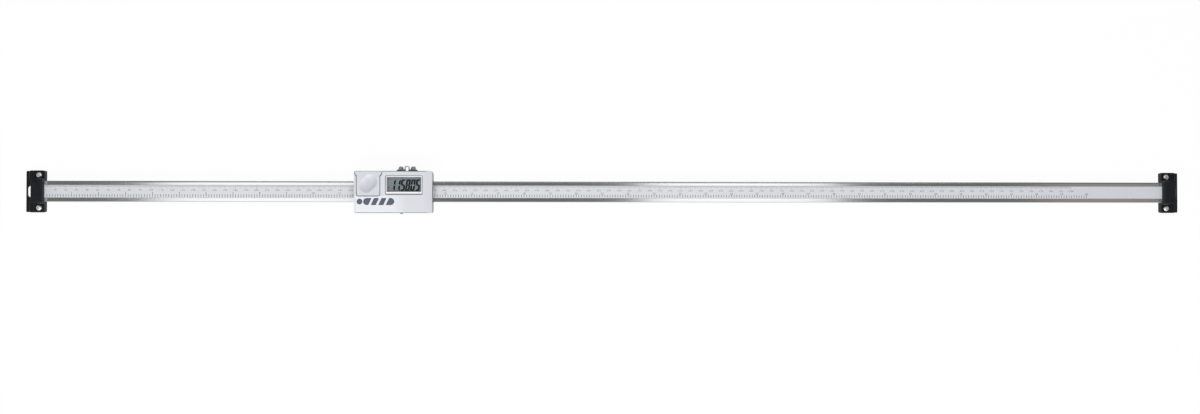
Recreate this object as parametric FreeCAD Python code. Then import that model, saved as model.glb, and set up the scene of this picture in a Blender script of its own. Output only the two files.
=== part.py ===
import FreeCAD, Part
import math
import os

V = FreeCAD.Vector
ORIGIN = V(0, 0, 0)
X_AXIS = V(1, 0, 0)
Y_AXIS = V(0, 1, 0)
Z_AXIS = V(0, 0, 1)

# Driving dimensions in millimetres. X runs along the beam, Z points out of the display and
# z = 0 is the mounting plane. The origin is the middle of the left bracket's foot.

# Travel of the reading head
measuring_range = 1016.0
rest_reading = 294.145
near_gap = 0.5
far_gap = 1.9

# Steel beam with its measuring strip and graduated label
beam_width = 20.0
beam_thickness = 5.0
beam_lift = 7.5
beam_edge_chamfer = 0.4
beam_bevel_width = 1.3
beam_bevel_drop = 0.28
beam_insertion = 8.4
label_width = 12.4
label_thickness = 0.2
grid_thickness = 0.8

# End brackets: a foot plate and a cap that clamp the beam's end between them
foot_thickness = 2.0
foot_corner_radius = 1.0
foot_setback = 3.0
foot_step = 0.35
slot_width = 5.4
slot_length = 10.8
slot_rim = 1.0
slot_to_block = 4.7
block_end_wall = 2.2
block_side_wall = 1.9
block_cover = 5.6
block_edge_radius = 0.8
block_side_radius = 3.0
ear_width = 8.2
ear_height = 4.0
ear_overhang = 6.7
ear_edge = 0.5
ear_corner_radius = 1.6
pocket_clearance = 0.1
bracket_screw_radius = 1.5
bracket_screw_setback = 8.0
bracket_screw_to_block = 3.7
bracket_head_radius = 2.75
bracket_head_height = 2.0
bracket_bore_depth = 1.2
bracket_bore_gap = 0.5
scallop_radius = 5.1

# Layout of the head's front. The cell sets the door's size, and the rows add up to the head's size.
battery_radius = 10.0
battery_thickness = 3.2
door_side_room = 0.95
door_top_room = 2.4
door_low_room = 1.5
tongue_room = 0.1
door_to_window = 5.15
window_length = 35.9
window_height = 18.8
window_top_margin = 4.25
right_margin = 8.95
key_row_gap = 2.65
key_height = 6.0
lower_margin = 7.95
head_offset = -0.5

# Slider: frame, back plate and gib
running_clearance = 0.1
channel_ceiling = 0.15
sensor_gap = 0.4
frame_inset = 0.25
frame_rim = 3.0
back_plate_thickness = 2.6
back_plate_margin = 0.6
plate_screw_radius = 1.25
plate_screw_length = 6.0
plate_screw_inset = 7.5
plate_head_share = 1.9
gib_thickness = 0.5
gib_backlash = 0.3
gib_end_gap = 3.0
gib_edge_gap = 0.4
gib_screw_radius = 1.25
gib_screw_spacing = 13.5
gib_screw_proud = 0.85
gib_slot_width = 0.4
gib_slot_depth = 0.8

# Electronics
board_thickness = 1.0
board_corner_radius = 1.0
board_gap = 0.2
pocket_depth = 0.8
chip_radius = 4.5
chip_height = 1.4
glass_margin = 0.7
glass_thickness = 1.8
connector_width = 2.0
holder_wall = 1.0
battery_space = 2.3
battery_groove_inset = 0.4
battery_groove_width = 0.6
battery_groove_depth = 0.3
contact_thickness = 0.3
contact_width = 4.0
contact_bend = 1.8
contact_foot = 2.7
contact_slope = 3.15
contact_tip = 1.35
contact_mitre = 0.225

# Front housing
housing_wall = 1.6
housing_corner_radius = 1.8
lower_corner_radius = 0.8
front_edge_radius = 1.0
left_facet_width = 2.2
left_facet_drop = 0.5
right_facet_width = 7.0
right_facet_drop = 0.6
lens_thickness = 0.8
lens_recess = 0.6
lens_gap = 0.05
lens_corner_radius = 1.5
ledge_side = 0.85
ledge_high = 1.0
ledge_low = 2.35
ledge_thickness = 0.9
opening_corner_radius = 0.4
boss_radius = 1.8
boss_inset = 2.0
housing_screw_radius = 0.8
housing_head_radius = 1.15
housing_head_gap = 0.1
housing_head_sunk = 0.3
housing_seat_depth = 1.8
cavity_corner_radius = 0.5
cup_wall = 1.0
cup_clearance = 0.15
cup_ledge = 1.5
cup_ledge_thickness = 0.8
partition_offset = 1.6
partition_thickness = 1.2

# Battery door
door_gap = 0.5
door_edge = 0.2
door_tongue = 1.0
tongue_thickness = 0.8
track_clearance = 0.1
door_over_battery = 0.4
door_corner_radius = 1.7
shoulder_reach = 1.8
shoulder_straight = 2.5
shoulder_slope = 2.2
dish_half_width = 7.0
dish_straight = 2.6
dish_depth = 1.1
dish_turn = 45

# Keys
round_key_diameter = 4.7
round_key_room = 0.7
round_key_gap = 1.6
left_key_length = 7.0
right_key_length = 7.2
slant_key_width = 4.0
key_gap = 3.15
key_slant = 2.8
key_corner_radius = 0.5
key_crown = 0.35
key_proud = 0.7
key_clearance = 0.3
key_flange = 0.8
key_flange_thickness = 0.8
key_stem_radius = 1.5
key_stem_gap = 0.8
mat_thickness = 0.7
mat_margin = 3.2
mat_collar_height = 2.5
mat_collar_wall = 0.9
mat_bore_gap = 0.4

# Saddle strap on the head's top edge
strap_from_right = 25.25
strap_width = 6.2
strap_thickness = 0.8
strap_bore_radius = 1.55
strap_lug = 0.8
strap_leg = 1.7
strap_bend = 0.4
strap_screw_spacing = 12.0
strap_end = 3.75
strap_screw_radius = 1.25
strap_screw_length = 6.0
strap_head_radius = 2.4
strap_head_height = 2.75
washer_radius = 3.2
washer_thickness = 0.65

# Fits and forms that several pieces share; cutters run past the faces by the overcut
thread_gap = 0.03
overcut = 1.0
screw_crown_share = 0.68

# Derived positions
left_margin = housing_wall + door_tongue + tongue_room
door_width = 2 * (battery_radius + door_side_room)
door_height = door_top_room + 2 * battery_radius + door_low_room
head_length = left_margin + door_width + door_to_window + window_length + right_margin
upper_band = max(door_height, window_top_margin + window_height)
head_width = upper_band + key_row_gap + key_height + lower_margin
block_length = beam_insertion + block_end_wall
bracket_length = slot_rim + slot_width + slot_to_block + block_length
block_width = beam_width + 2 * pocket_clearance + 2 * block_side_wall
bracket_width = block_width + 2 * ear_width
ear_length = block_length + ear_overhang
foot_length = bracket_length - foot_setback
free_span = near_gap + measuring_range + head_length + far_gap
foot_inner_x = foot_length / 2
inner_x = foot_inner_x + foot_setback
mid_x = inner_x + free_span / 2
beam_start = inner_x - beam_insertion
beam_length = free_span + 2 * beam_insertion
beam_face = beam_lift + beam_thickness
channel_floor = beam_face - grid_thickness - label_thickness
ear_top = foot_thickness + ear_height
block_top = beam_face + block_cover

head_left = inner_x + near_gap + rest_reading
head_right = head_left + head_length
head_middle = head_left + head_length / 2
head_high = head_width / 2 + head_offset
head_low = head_high - head_width
frame_back = beam_lift - running_clearance
board_bottom = beam_face + sensor_gap
board_top = board_bottom + board_thickness
frame_front = board_bottom + pocket_depth
channel_top = beam_face + channel_ceiling
channel_high = beam_width / 2 + running_clearance
channel_low = -(beam_width / 2 + running_clearance + gib_thickness + gib_backlash)
frame_high = head_high - frame_inset
frame_low = head_low + frame_inset
frame_left = head_left + frame_inset
frame_right = head_right - frame_inset
rail_height = (frame_back + frame_front) / 2
pocket_left = head_left + frame_rim
pocket_right = head_right - frame_rim
pocket_high = head_high - frame_rim
pocket_low = head_low + frame_rim
battery_bottom = board_top + battery_space
battery_top = battery_bottom + battery_thickness
tongue_bottom = battery_top + door_over_battery
tongue_top = tongue_bottom + tongue_thickness
wall_inside = tongue_top + track_clearance
front_z = wall_inside + housing_wall
battery_x = head_left + left_margin + door_width / 2
battery_y = head_high - door_top_room - battery_radius
door_left = head_left + left_margin
door_right = door_left + door_width
door_bottom = head_high - door_height
window_left = door_right + door_to_window
window_right = window_left + window_length
window_high = head_high - window_top_margin
window_low = window_high - window_height
ledge_top = front_z - lens_recess - lens_thickness
ledge_bottom = ledge_top - ledge_thickness
glass_bottom = ledge_bottom - glass_thickness
key_y = head_high - upper_band - key_row_gap - key_height / 2
key_top = front_z + key_proud
key_flange_bottom = wall_inside - key_flange_thickness
key_stem_bottom = board_top + key_stem_gap
strap_x = head_right - strap_from_right


# Shared shape makers

def block(x0, x1, y0, y1, z0, z1):
    return Part.makeBox(x1 - x0, y1 - y0, z1 - z0, V(x0, y0, z0))


def rod(x, y, z, radius, height, direction=Z_AXIS):
    return Part.makeCylinder(radius, height, V(x, y, z), direction)


def same(a, b):
    return abs(a - b) < 1e-6


def runs_along(edge, axis):
    return abs(edge.tangentAt(edge.FirstParameter).dot(axis)) > 0.999


def upright_edges(solid):
    return [e for e in solid.Edges if len(e.Vertexes) == 2 and runs_along(e, Z_AXIS)]


def rounded_block(x0, x1, y0, y1, z0, z1, radius):
    solid = block(x0, x1, y0, y1, z0, z1)
    return solid.makeFillet(radius, upright_edges(solid))


def prism(points, z0, z1):
    outline = Part.makePolygon([V(x, y, z0) for x, y in points + points[:1]])
    return Part.Face(outline).extrude(V(0, 0, z1 - z0))


def level_edges(solid, z):
    # Edges that lie at height z.
    return [e for e in solid.Edges if all(same(v.Z, z) for v in e.Vertexes)]


def group(shapes):
    return Part.makeCompound(shapes)


def pan_screw(head_radius, head_height, shank_radius, shank_length):
    # A pan head, straight below and sloped above, on a plain shank; the seat is at z = 0.
    rim_height = head_height / 2
    top_radius = head_radius * screw_crown_share
    head = rod(0, 0, 0, head_radius, rim_height)
    crown = Part.makeCone(head_radius, top_radius, head_height - rim_height, V(0, 0, rim_height))
    return head.fuse([crown, rod(0, 0, -shank_length, shank_radius, shank_length)]).removeSplitter()


def flat_screw(head_radius, shank_radius, length):
    # A countersunk screw; the flat of the head is at z = 0 and the shank runs down.
    taper = head_radius - shank_radius
    cone = Part.makeCone(shank_radius, head_radius, taper, V(0, 0, -taper))
    return cone.fuse(rod(0, 0, -length, shank_radius, length)).removeSplitter()


def flat_screw_seat(head_radius, shank_radius, length):
    taper = head_radius - shank_radius
    cone = Part.makeCone(shank_radius, head_radius, taper, V(0, 0, -taper))
    return cone.fuse(rod(0, 0, -length, shank_radius + thread_gap, length))


# Beam, measuring strip and label

def make_beam():
    half = beam_width / 2
    chamfer = beam_edge_chamfer
    section = [
        (-half + chamfer, beam_lift), (half - chamfer, beam_lift),
        (half, beam_lift + chamfer), (half, beam_face - beam_bevel_drop),
        (half - beam_bevel_width, beam_face), (label_width / 2, beam_face),
        (label_width / 2, channel_floor), (-label_width / 2, channel_floor),
        (-label_width / 2, beam_face), (-half + chamfer, beam_face),
        (-half, beam_face - chamfer), (-half, beam_lift + chamfer),
    ]
    outline = Part.makePolygon([V(beam_start, y, z) for y, z in section + section[:1]])
    return Part.Face(outline).extrude(V(beam_length, 0, 0))


def make_strip(z0, z1):
    end = beam_start + beam_length
    return block(beam_start, end, -label_width / 2, label_width / 2, z0, z1)


# Brackets. The left one is drawn and the right one is its mirror image.

bracket_screw_x = inner_x - bracket_screw_setback
bracket_screw_y = block_width / 2 + bracket_screw_to_block


def make_bracket_base():
    outer_x = inner_x - bracket_length
    half = bracket_width / 2 - foot_step
    plate = rounded_block(outer_x, foot_inner_x, -half, half, 0, foot_thickness, foot_corner_radius)
    pad_half = beam_width / 2 - pocket_clearance
    pad = block(beam_start, foot_inner_x, -pad_half, pad_half, foot_thickness, beam_lift)
    base = plate.fuse(pad)
    slot_x = outer_x + slot_rim + slot_width / 2
    slot_reach = (slot_length - slot_width) / 2
    slot = block(slot_x - slot_width / 2, slot_x + slot_width / 2, -slot_reach, slot_reach,
                 -overcut, foot_thickness + overcut)
    for side in (-1, 1):
        round_end = rod(slot_x, side * slot_reach, -overcut, slot_width / 2,
                        foot_thickness + 2 * overcut)
        slot = slot.fuse(round_end)
    base = base.cut(slot)
    for side in (-1, 1):
        hole = rod(bracket_screw_x, side * bracket_screw_y, -overcut,
                   bracket_screw_radius + thread_gap, foot_thickness + 2 * overcut)
        base = base.cut(hole)
    return base.removeSplitter()


def make_bracket_cap():
    half = bracket_width / 2
    block_half = block_width / 2
    body = block(inner_x - block_length, inner_x, -block_half, block_half, foot_thickness, block_top)
    rims = level_edges(body, block_top)
    long_rims = [e for e in rims if runs_along(e, X_AXIS)]
    end_rims = [e for e in rims if runs_along(e, Y_AXIS)]
    cap = body.makeFillet(block_side_radius, long_rims).common(body.makeFillet(block_edge_radius, end_rims))
    bore = bracket_head_radius + bracket_bore_gap
    for side in (-1, 1):
        y0, y1 = sorted((side * (block_half - block_side_wall / 2), side * half))
        ear = block(inner_x - ear_length, foot_inner_x, y0, y1, foot_thickness, ear_top)
        outer_corners = [e for e in upright_edges(ear) if same(e.Vertexes[0].Y, side * half)]
        ear = ear.makeFillet(ear_corner_radius, outer_corners)
        ear = ear.makeChamfer(ear_edge, level_edges(ear, ear_top))
        cap = cap.fuse(ear)
    seat = ear_top - bracket_bore_depth
    for side in (-1, 1):
        y = side * bracket_screw_y
        shaft = rod(bracket_screw_x, y, foot_thickness - overcut,
                    bracket_screw_radius + 2 * thread_gap, ear_height + 2 * overcut)
        counterbore = rod(bracket_screw_x, y, seat, bore, block_top)
        scallop = rod(bracket_screw_x, y, ear_top, scallop_radius, block_top)
        cap = cap.cut(shaft.fuse([counterbore, scallop]))
    pocket_half = beam_width / 2 + pocket_clearance
    pocket = block(beam_start - pocket_clearance, inner_x + overcut, -pocket_half, pocket_half,
                   foot_thickness - overcut, beam_face)
    overhang = block(foot_inner_x, inner_x + overcut, -half, half, foot_thickness - overcut, beam_lift)
    return cap.cut(pocket.fuse(overhang)).removeSplitter()


def make_bracket_screws():
    seat = ear_top - bracket_bore_depth
    reach = seat - foot_thickness / 4
    screw = pan_screw(bracket_head_radius, bracket_head_height, bracket_screw_radius, reach)
    return group([screw.translated(V(bracket_screw_x, side * bracket_screw_y, seat)) for side in (-1, 1)])


def mirrored(shape):
    return shape.mirror(V(mid_x, 0, 0), X_AXIS)


# Slider of the head: a frame round the beam, a back plate, and the gib with its screws

plate_screw_xs = (head_left + plate_screw_inset, head_right - plate_screw_inset)
rail_middle_high = (channel_high + frame_high) / 2
rail_middle_low = (channel_low + frame_low) / 2
back_plate_low = frame_back - back_plate_thickness
plate_head_radius = plate_screw_radius * plate_head_share
gib_screw_xs = (head_middle - gib_screw_spacing / 2, head_middle + gib_screw_spacing / 2)
gib_face = -(beam_width / 2 + running_clearance)
gib_back = gib_face - gib_thickness
strap_screw_xs = (strap_x - strap_screw_spacing / 2, strap_x + strap_screw_spacing / 2)
strap_reach = strap_screw_spacing / 2 + strap_end
strap_seat = frame_high + strap_lug
boss_places = [(x, y) for x in (head_left + boss_inset, head_right - boss_inset)
               for y in (head_high - boss_inset, head_low + boss_inset)]
housing_screw_seat = frame_back + housing_seat_depth


def make_slider_frame():
    frame = rounded_block(frame_left, frame_right, frame_low, frame_high, frame_back, frame_front,
                          housing_corner_radius)
    channel = block(head_left - overcut, head_right + overcut, channel_low, channel_high,
                    frame_back - overcut, channel_top)
    window = block(pocket_left, pocket_right, channel_low, channel_high, channel_top - overcut, frame_front)
    pocket = block(pocket_left, pocket_right, pocket_low, pocket_high, board_bottom, frame_front + overcut)
    frame = frame.cut(channel.fuse([window, pocket]))
    for side in (-1, 1):
        x0, x1 = sorted((strap_x + side * strap_bore_radius, strap_x + side * strap_reach))
        lug = block(x0, x1, frame_high - overcut, strap_seat, rail_height - strap_width / 2,
                    rail_height + strap_width / 2)
        frame = frame.fuse(lug)
    holes = []
    for x in plate_screw_xs:
        for y in (rail_middle_low, rail_middle_high):
            hole_depth = plate_screw_length - back_plate_thickness
            holes.append(rod(x, y, frame_back - overcut, plate_screw_radius + thread_gap,
                             hole_depth + overcut + thread_gap))
    for x in gib_screw_xs:
        holes.append(rod(x, head_low - overcut, rail_height, gib_screw_radius + thread_gap,
                         channel_low - head_low + 2 * overcut, Y_AXIS))
    for x in strap_screw_xs:
        depth = strap_screw_length - strap_thickness - washer_thickness + thread_gap
        holes.append(rod(x, strap_seat - depth, rail_height, strap_screw_radius + thread_gap,
                         depth + overcut, Y_AXIS))
    for x, y in boss_places:
        holes.append(rod(x, y, frame_back - overcut, housing_screw_radius + 2 * thread_gap, front_z))
        holes.append(rod(x, y, frame_back - overcut, housing_head_radius + housing_head_gap,
                         housing_screw_seat - frame_back + overcut))
    for hole in holes:
        frame = frame.cut(hole)
    return frame


def make_back_plate():
    plate = rounded_block(frame_left, frame_right, head_low + back_plate_margin,
                          head_high - back_plate_margin, back_plate_low, frame_back,
                          housing_corner_radius)
    seat = flat_screw_seat(plate_head_radius, plate_screw_radius, plate_screw_length)
    seat = seat.rotated(ORIGIN, X_AXIS, 180)
    for x in plate_screw_xs:
        for y in (rail_middle_low, rail_middle_high):
            plate = plate.cut(seat.translated(V(x, y, back_plate_low)))
    return plate


def make_back_plate_screws():
    screw = flat_screw(plate_head_radius, plate_screw_radius, plate_screw_length)
    screw = screw.rotated(ORIGIN, X_AXIS, 180)
    return group([screw.translated(V(x, y, back_plate_low)) for x in plate_screw_xs
                  for y in (rail_middle_low, rail_middle_high)])


def make_gib_strip():
    z0 = beam_lift + gib_edge_gap
    z1 = beam_face - gib_edge_gap
    return block(head_left + gib_end_gap, head_right - gib_end_gap, gib_back, gib_face, z0, z1)


def make_gib_screws():
    screws = []
    for x, end in zip(gib_screw_xs, (frame_low, head_low - gib_screw_proud)):
        body = rod(x, end, rail_height, gib_screw_radius, gib_back - end, Y_AXIS)
        slot = block(x - gib_slot_width / 2, x + gib_slot_width / 2, end - overcut, end + gib_slot_depth,
                     rail_height - 2 * gib_screw_radius, rail_height + 2 * gib_screw_radius)
        screws.append(body.cut(slot))
    return group(screws)


# Front housing: the moulded shell of the head

def make_head_form():
    # The outer form: plan outline, side facets and rounded front edges, crossed together.
    plan = block(head_left, head_right, head_low, head_high, frame_front, front_z)
    middle = (head_low + head_high) / 2
    upper_corners = [e for e in upright_edges(plan) if e.Vertexes[0].Y > middle]
    lower_corners = [e for e in upright_edges(plan) if e.Vertexes[0].Y < middle]
    plan = plan.makeFillet(housing_corner_radius, upper_corners).common(
        plan.makeFillet(lower_corner_radius, lower_corners))
    side = [
        (head_left, frame_front), (head_right, frame_front),
        (head_right, front_z - right_facet_drop), (head_right - right_facet_width, front_z),
        (head_left + left_facet_width, front_z), (head_left, front_z - left_facet_drop),
    ]
    outline = Part.makePolygon([V(x, head_low, z) for x, z in side + side[:1]])
    facets = Part.Face(outline).extrude(V(0, head_width, 0))
    bar = block(head_left, head_right, head_low, head_high, frame_front, front_z)
    long_edges = [e for e in level_edges(bar, front_z) if runs_along(e, X_AXIS)]
    bar = bar.makeFillet(front_edge_radius, long_edges)
    return plan.common(facets).common(bar)


def door_outline(gap, z0, z1):
    # T-shaped outline with sloped shoulders; the top runs out past the head's edge by the gap.
    left = door_left - gap
    right = door_right + gap
    low = door_bottom - gap
    shoulder = head_high - shoulder_straight - gap
    neck = shoulder - shoulder_slope
    high = head_high + gap
    points = [
        (left, low), (right, low), (right, neck), (right + shoulder_reach, shoulder),
        (right + shoulder_reach, high), (left - shoulder_reach, high),
        (left - shoulder_reach, shoulder), (left, neck),
    ]
    solid = prism(points, z0, z1)
    corners = [e for e in upright_edges(solid) if same(e.Vertexes[0].Y, low)]
    return solid.makeFillet(door_corner_radius + gap, corners)


def window_block(inset, z0, z1):
    return rounded_block(window_left + inset, window_right - inset, window_low + inset,
                         window_high - inset, z0, z1, lens_corner_radius - inset)


def display_opening(z0, z1):
    side = lens_recess + ledge_side
    return rounded_block(window_left + side, window_right - side, window_low + lens_recess + ledge_low,
                         window_high - lens_recess - ledge_high, z0, z1, opening_corner_radius)


def make_front_housing(head_form):
    inner = housing_wall
    cavity = rounded_block(head_left + inner, head_right - inner, head_low + inner, head_high - inner,
                           frame_front - overcut, wall_inside, cavity_corner_radius)
    shell = head_form.cut(cavity)
    cup_top = tongue_bottom - track_clearance
    cup_radius = battery_radius + cup_clearance
    cup = rod(battery_x, battery_y, board_top, cup_radius + cup_wall, cup_top - board_top)
    partition_x = door_right + partition_offset
    partition = block(partition_x, partition_x + partition_thickness, battery_y - battery_radius,
                      head_high - inner / 2, board_top, wall_inside + inner / 2)
    tie = block(battery_x, partition_x + partition_thickness / 2, battery_y - contact_width,
                battery_y + contact_width, board_top, cup_top)
    lip = window_block(-lens_recess / 2, ledge_bottom, wall_inside + inner / 2)
    bosses = [rod(x, y, frame_front, boss_radius, cup_top - frame_front) for x, y in boss_places]
    shell = shell.fuse([head_form.common(s) for s in [cup, partition, tie, lip] + bosses])
    well = rod(battery_x, battery_y, battery_bottom, cup_radius, front_z)
    throat = rod(battery_x, battery_y, frame_front, cup_radius - cup_ledge, front_z)
    under = rod(battery_x, battery_y, frame_front, cup_radius,
                battery_bottom - cup_ledge_thickness - frame_front)
    clip_half = contact_width / 2 + cup_clearance
    clip_gap = block(battery_x - clip_half, battery_x + clip_half,
                     battery_y - battery_radius - 2 * cup_wall, battery_y, frame_front, front_z)
    cup_space = rod(battery_x, battery_y, frame_front, cup_radius + cup_wall + overcut,
                    cup_top - frame_front)
    shell = shell.cut(well.fuse([throat, under]).common(cup_space)).cut(clip_gap.common(cup_space))
    shell = shell.cut(door_outline(door_gap, tongue_bottom - track_clearance, front_z + overcut))
    rim = door_outline(door_gap + 2 * door_edge, front_z - door_edge, front_z + 2 * door_edge)
    shell = shell.cut(rim.makeChamfer(2 * door_edge, level_edges(rim, front_z - door_edge)))
    shell = shell.cut(window_block(lens_recess, ledge_top, front_z + overcut))
    rim = window_block(-lens_recess, front_z - lens_recess, front_z + 2 * lens_recess)
    shell = shell.cut(rim.makeChamfer(2 * lens_recess, level_edges(rim, front_z - lens_recess)))
    shell = shell.cut(display_opening(ledge_bottom - overcut, front_z))
    for outline in key_outlines(key_clearance, wall_inside - overcut, front_z + overcut):
        shell = shell.cut(outline)
    for x, y in boss_places:
        shell = shell.cut(rod(x, y, frame_front - overcut, housing_screw_radius + thread_gap,
                              cup_top - frame_front))
    return shell


def make_housing_screws():
    length = tongue_bottom - housing_screw_seat - 2 * overcut
    head_height = housing_seat_depth - housing_head_sunk
    head = rod(0, 0, -head_height, housing_head_radius, head_height)
    screw = head.fuse(rod(0, 0, 0, housing_screw_radius, length))
    return group([screw.translated(V(x, y, housing_screw_seat)) for x, y in boss_places])


def thumb_dish():
    # An oval hollow along the door's diagonal: a shallow trough with a ball-shaped end at each side.
    radius = (dish_half_width ** 2 + dish_depth ** 2) / (2 * dish_depth)
    low = V(-dish_straight, -dish_half_width, 0)
    high = V(-dish_straight, dish_half_width, 0)
    arc = Part.Arc(low, V(-dish_straight, 0, -dish_depth), high).toShape()
    trough = Part.Face(Part.Wire([arc, Part.makeLine(high, low)])).extrude(V(2 * dish_straight, 0, 0))
    ends = []
    for side in (-1, 1):
        ball = Part.makeSphere(radius, V(side * dish_straight, 0, radius - dish_depth))
        x0, x1 = sorted((side * dish_straight, side * radius))
        ends.append(ball.common(block(x0, x1, -radius, radius, -dish_depth - overcut, 0)))
    hollow = trough.fuse(ends)
    hollow.rotate(ORIGIN, Z_AXIS, dish_turn)
    hollow.translate(V(battery_x, battery_y, front_z))
    return hollow


def make_battery_door(head_form):
    plate = door_outline(0, tongue_bottom, front_z)
    plate = plate.makeChamfer(door_edge, level_edges(plate, front_z)).common(head_form)
    tongue = rounded_block(door_left - door_tongue, door_right + door_tongue, door_bottom - door_tongue,
                           head_high - front_edge_radius, tongue_bottom, tongue_top, door_corner_radius)
    return plate.fuse(tongue).cut(thumb_dish()).removeSplitter()


def make_display_lens():
    return window_block(lens_recess + lens_gap, ledge_top, ledge_top + lens_thickness)


# Electronics inside the head

glass_left = window_left + glass_margin
glass_right = window_right - glass_margin
glass_low = window_low + glass_margin
glass_high = window_high - glass_margin


def make_circuit_board():
    return rounded_block(pocket_left + board_gap, pocket_right - board_gap, pocket_low + board_gap,
                         pocket_high - board_gap, board_bottom, board_top, board_corner_radius)


def make_controller_chip():
    # A low cast cap of resin over the bare chip.
    x = window_right - chip_radius - housing_wall
    return Part.makeCone(chip_radius, chip_radius / 2, chip_height, V(x, key_y, board_top))


def make_display_panel():
    return block(glass_left, glass_right, glass_low, glass_high, glass_bottom, ledge_bottom)


def make_display_connectors():
    strips = []
    for y in (glass_low + connector_width / 2, glass_high - 1.5 * connector_width):
        strips.append(block(glass_left + connector_width, glass_right - connector_width, y,
                            y + connector_width, board_top, glass_bottom))
    return group(strips)


def make_display_holder():
    outer = block(glass_left - holder_wall, glass_right + holder_wall, glass_low - holder_wall,
                  glass_high + holder_wall, board_top, glass_bottom + glass_thickness / 2)
    seat = block(glass_left, glass_right, glass_low, glass_high, glass_bottom, front_z)
    rim = connector_width / 2
    shaft = block(glass_left + rim, glass_right - rim, glass_low + rim / 2, glass_high - rim / 2,
                  board_top - overcut, front_z)
    return outer.cut(seat).cut(shaft)


def make_battery():
    # A flat can with a ring groove in its under face, where the cap sits in the can.
    cell = rod(battery_x, battery_y, battery_bottom, battery_radius, battery_thickness)
    groove_radius = battery_radius - battery_groove_inset
    cap_radius = groove_radius - battery_groove_width
    groove = rod(battery_x, battery_y, battery_bottom, groove_radius, battery_groove_depth)
    cap = rod(battery_x, battery_y, battery_bottom, cap_radius, battery_groove_depth)
    return cell.cut(groove.cut(cap))


def make_negative_contact():
    # A sheet strip soldered to the board that rises to the cell's under face.
    t = contact_thickness
    low = board_top
    high = battery_bottom - t
    bend = battery_x - contact_bend
    start = bend - contact_foot
    crest = bend + contact_slope
    tip = crest + contact_tip
    points = [
        (start, low), (bend, low), (crest, high), (tip, high), (tip, high + t),
        (crest - contact_mitre, high + t), (bend - contact_mitre, low + t), (start, low + t),
    ]
    y0 = battery_y - contact_width / 2
    outline = Part.makePolygon([V(x, y0, z) for x, z in points + points[:1]])
    return Part.Face(outline).extrude(V(0, contact_width, 0))


def make_positive_contact():
    # An L of sheet: a foot on the board and an upright leaf against the cell's rim.
    leaf_y = battery_y - battery_radius
    t = contact_thickness
    foot = 2 * t
    points = [
        (leaf_y - foot, board_top), (leaf_y, board_top), (leaf_y, battery_top),
        (leaf_y - t, battery_top), (leaf_y - t, board_top + t), (leaf_y - foot, board_top + t),
    ]
    x0 = battery_x - contact_width / 2
    outline = Part.makePolygon([V(x0, y, z) for y, z in points + points[:1]])
    return Part.Face(outline).extrude(V(contact_width, 0, 0))


# Keys: a round one, two D-ended ones and two slanted ones in one row

round_key_x = head_left + housing_wall + key_flange + round_key_room + round_key_diameter / 2
left_key_start = round_key_x + round_key_diameter / 2 + round_key_gap
left_key_end = left_key_start + left_key_length
slant_one_start = left_key_end + key_gap
slant_two_start = slant_one_start + slant_key_width + key_gap
right_key_start = slant_two_start + slant_key_width + key_gap
key_radius = key_height / 2
left_key_x = left_key_start + key_radius
right_key_x = right_key_start - key_slant + right_key_length - key_radius
key_centres = (
    round_key_x,
    left_key_x + key_gap / 4,
    slant_one_start + slant_key_width / 2 - key_slant / 2,
    slant_two_start + slant_key_width / 2 - key_slant / 2,
    right_key_x - key_gap / 4,
)


def grown(wire, gap, z0, z1):
    outline = wire.makeOffset2D(gap) if gap else wire
    outline.translate(V(0, 0, z0))
    return Part.Face(outline).extrude(V(0, 0, z1 - z0))


def key_wire(corners, arc=None):
    # Straight runs through the corners, closed by an arc through one point where given.
    points = [V(x, y, 0) for x, y in corners]
    edges = [Part.LineSegment(a, b).toShape() for a, b in zip(points, points[1:])]
    if arc:
        edges.append(Part.Arc(points[-1], V(arc[0], arc[1], 0), points[0]).toShape())
    else:
        edges.append(Part.LineSegment(points[-1], points[0]).toShape())
    return Part.Wire(edges)


def key_outlines(gap, z0, z1):
    high = key_y + key_radius
    low = key_y - key_radius
    circle = Part.Wire(Part.Circle(V(round_key_x, key_y, 0), Z_AXIS, round_key_diameter / 2).toShape())
    wires = [circle]
    wires.append(key_wire([(left_key_x, low), (left_key_end - key_slant, low), (left_key_end, high),
                           (left_key_x, high)], (left_key_start, key_y)))
    for start in (slant_one_start, slant_two_start):
        end = start + slant_key_width
        wires.append(key_wire([(start - key_slant, low), (end - key_slant, low),
                               (end, high), (start, high)]))
    wires.append(key_wire([(right_key_x, high), (right_key_start, high), (right_key_start - key_slant, low),
                           (right_key_x, low)], (right_key_x + key_radius, key_y)))
    return [grown(wire, gap, z0, z1) for wire in wires]


def make_keys():
    crowns = key_outlines(0, key_flange_bottom, key_top)
    flanges = key_outlines(key_flange, key_flange_bottom, wall_inside)
    keys = []
    for crown, flange, x in zip(crowns, flanges, key_centres):
        slants = [e for e in upright_edges(crown) if not touches_arc(crown, e)]
        if slants:
            crown = crown.makeFillet(key_corner_radius, slants)
        crown = crown.makeChamfer(key_crown, level_edges(crown, key_top))
        stem = rod(x, key_y, key_stem_bottom, key_stem_radius, key_flange_bottom - key_stem_bottom)
        keys.append(crown.fuse([flange, stem]).removeSplitter())
    return keys


def touches_arc(solid, edge):
    # True where the upright edge is the seam between a flat side and a round end.
    for face in solid.Faces:
        if face.Surface.TypeId == "Part::GeomCylinder" and any(e.isSame(edge) for e in face.Edges):
            return True
    return False


def make_key_mat():
    low = key_y - mat_margin
    high = key_y + mat_margin
    left = pocket_left + 2 * board_gap
    right = key_centres[-1] + mat_margin
    mat = block(left, right, low, high, board_top, board_top + mat_thickness)
    bore = key_stem_radius + mat_bore_gap
    collar_radius = bore + mat_collar_wall
    for x in key_centres:
        collar = rod(x, key_y, board_top, collar_radius, mat_collar_height)
        mat = mat.fuse(collar.common(block(left, right, low, high, board_top, front_z)))
    for x in key_centres:
        mat = mat.cut(rod(x, key_y, board_top - overcut, bore, front_z))
    return mat.removeSplitter()


# Saddle strap with its screws and washers

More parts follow.
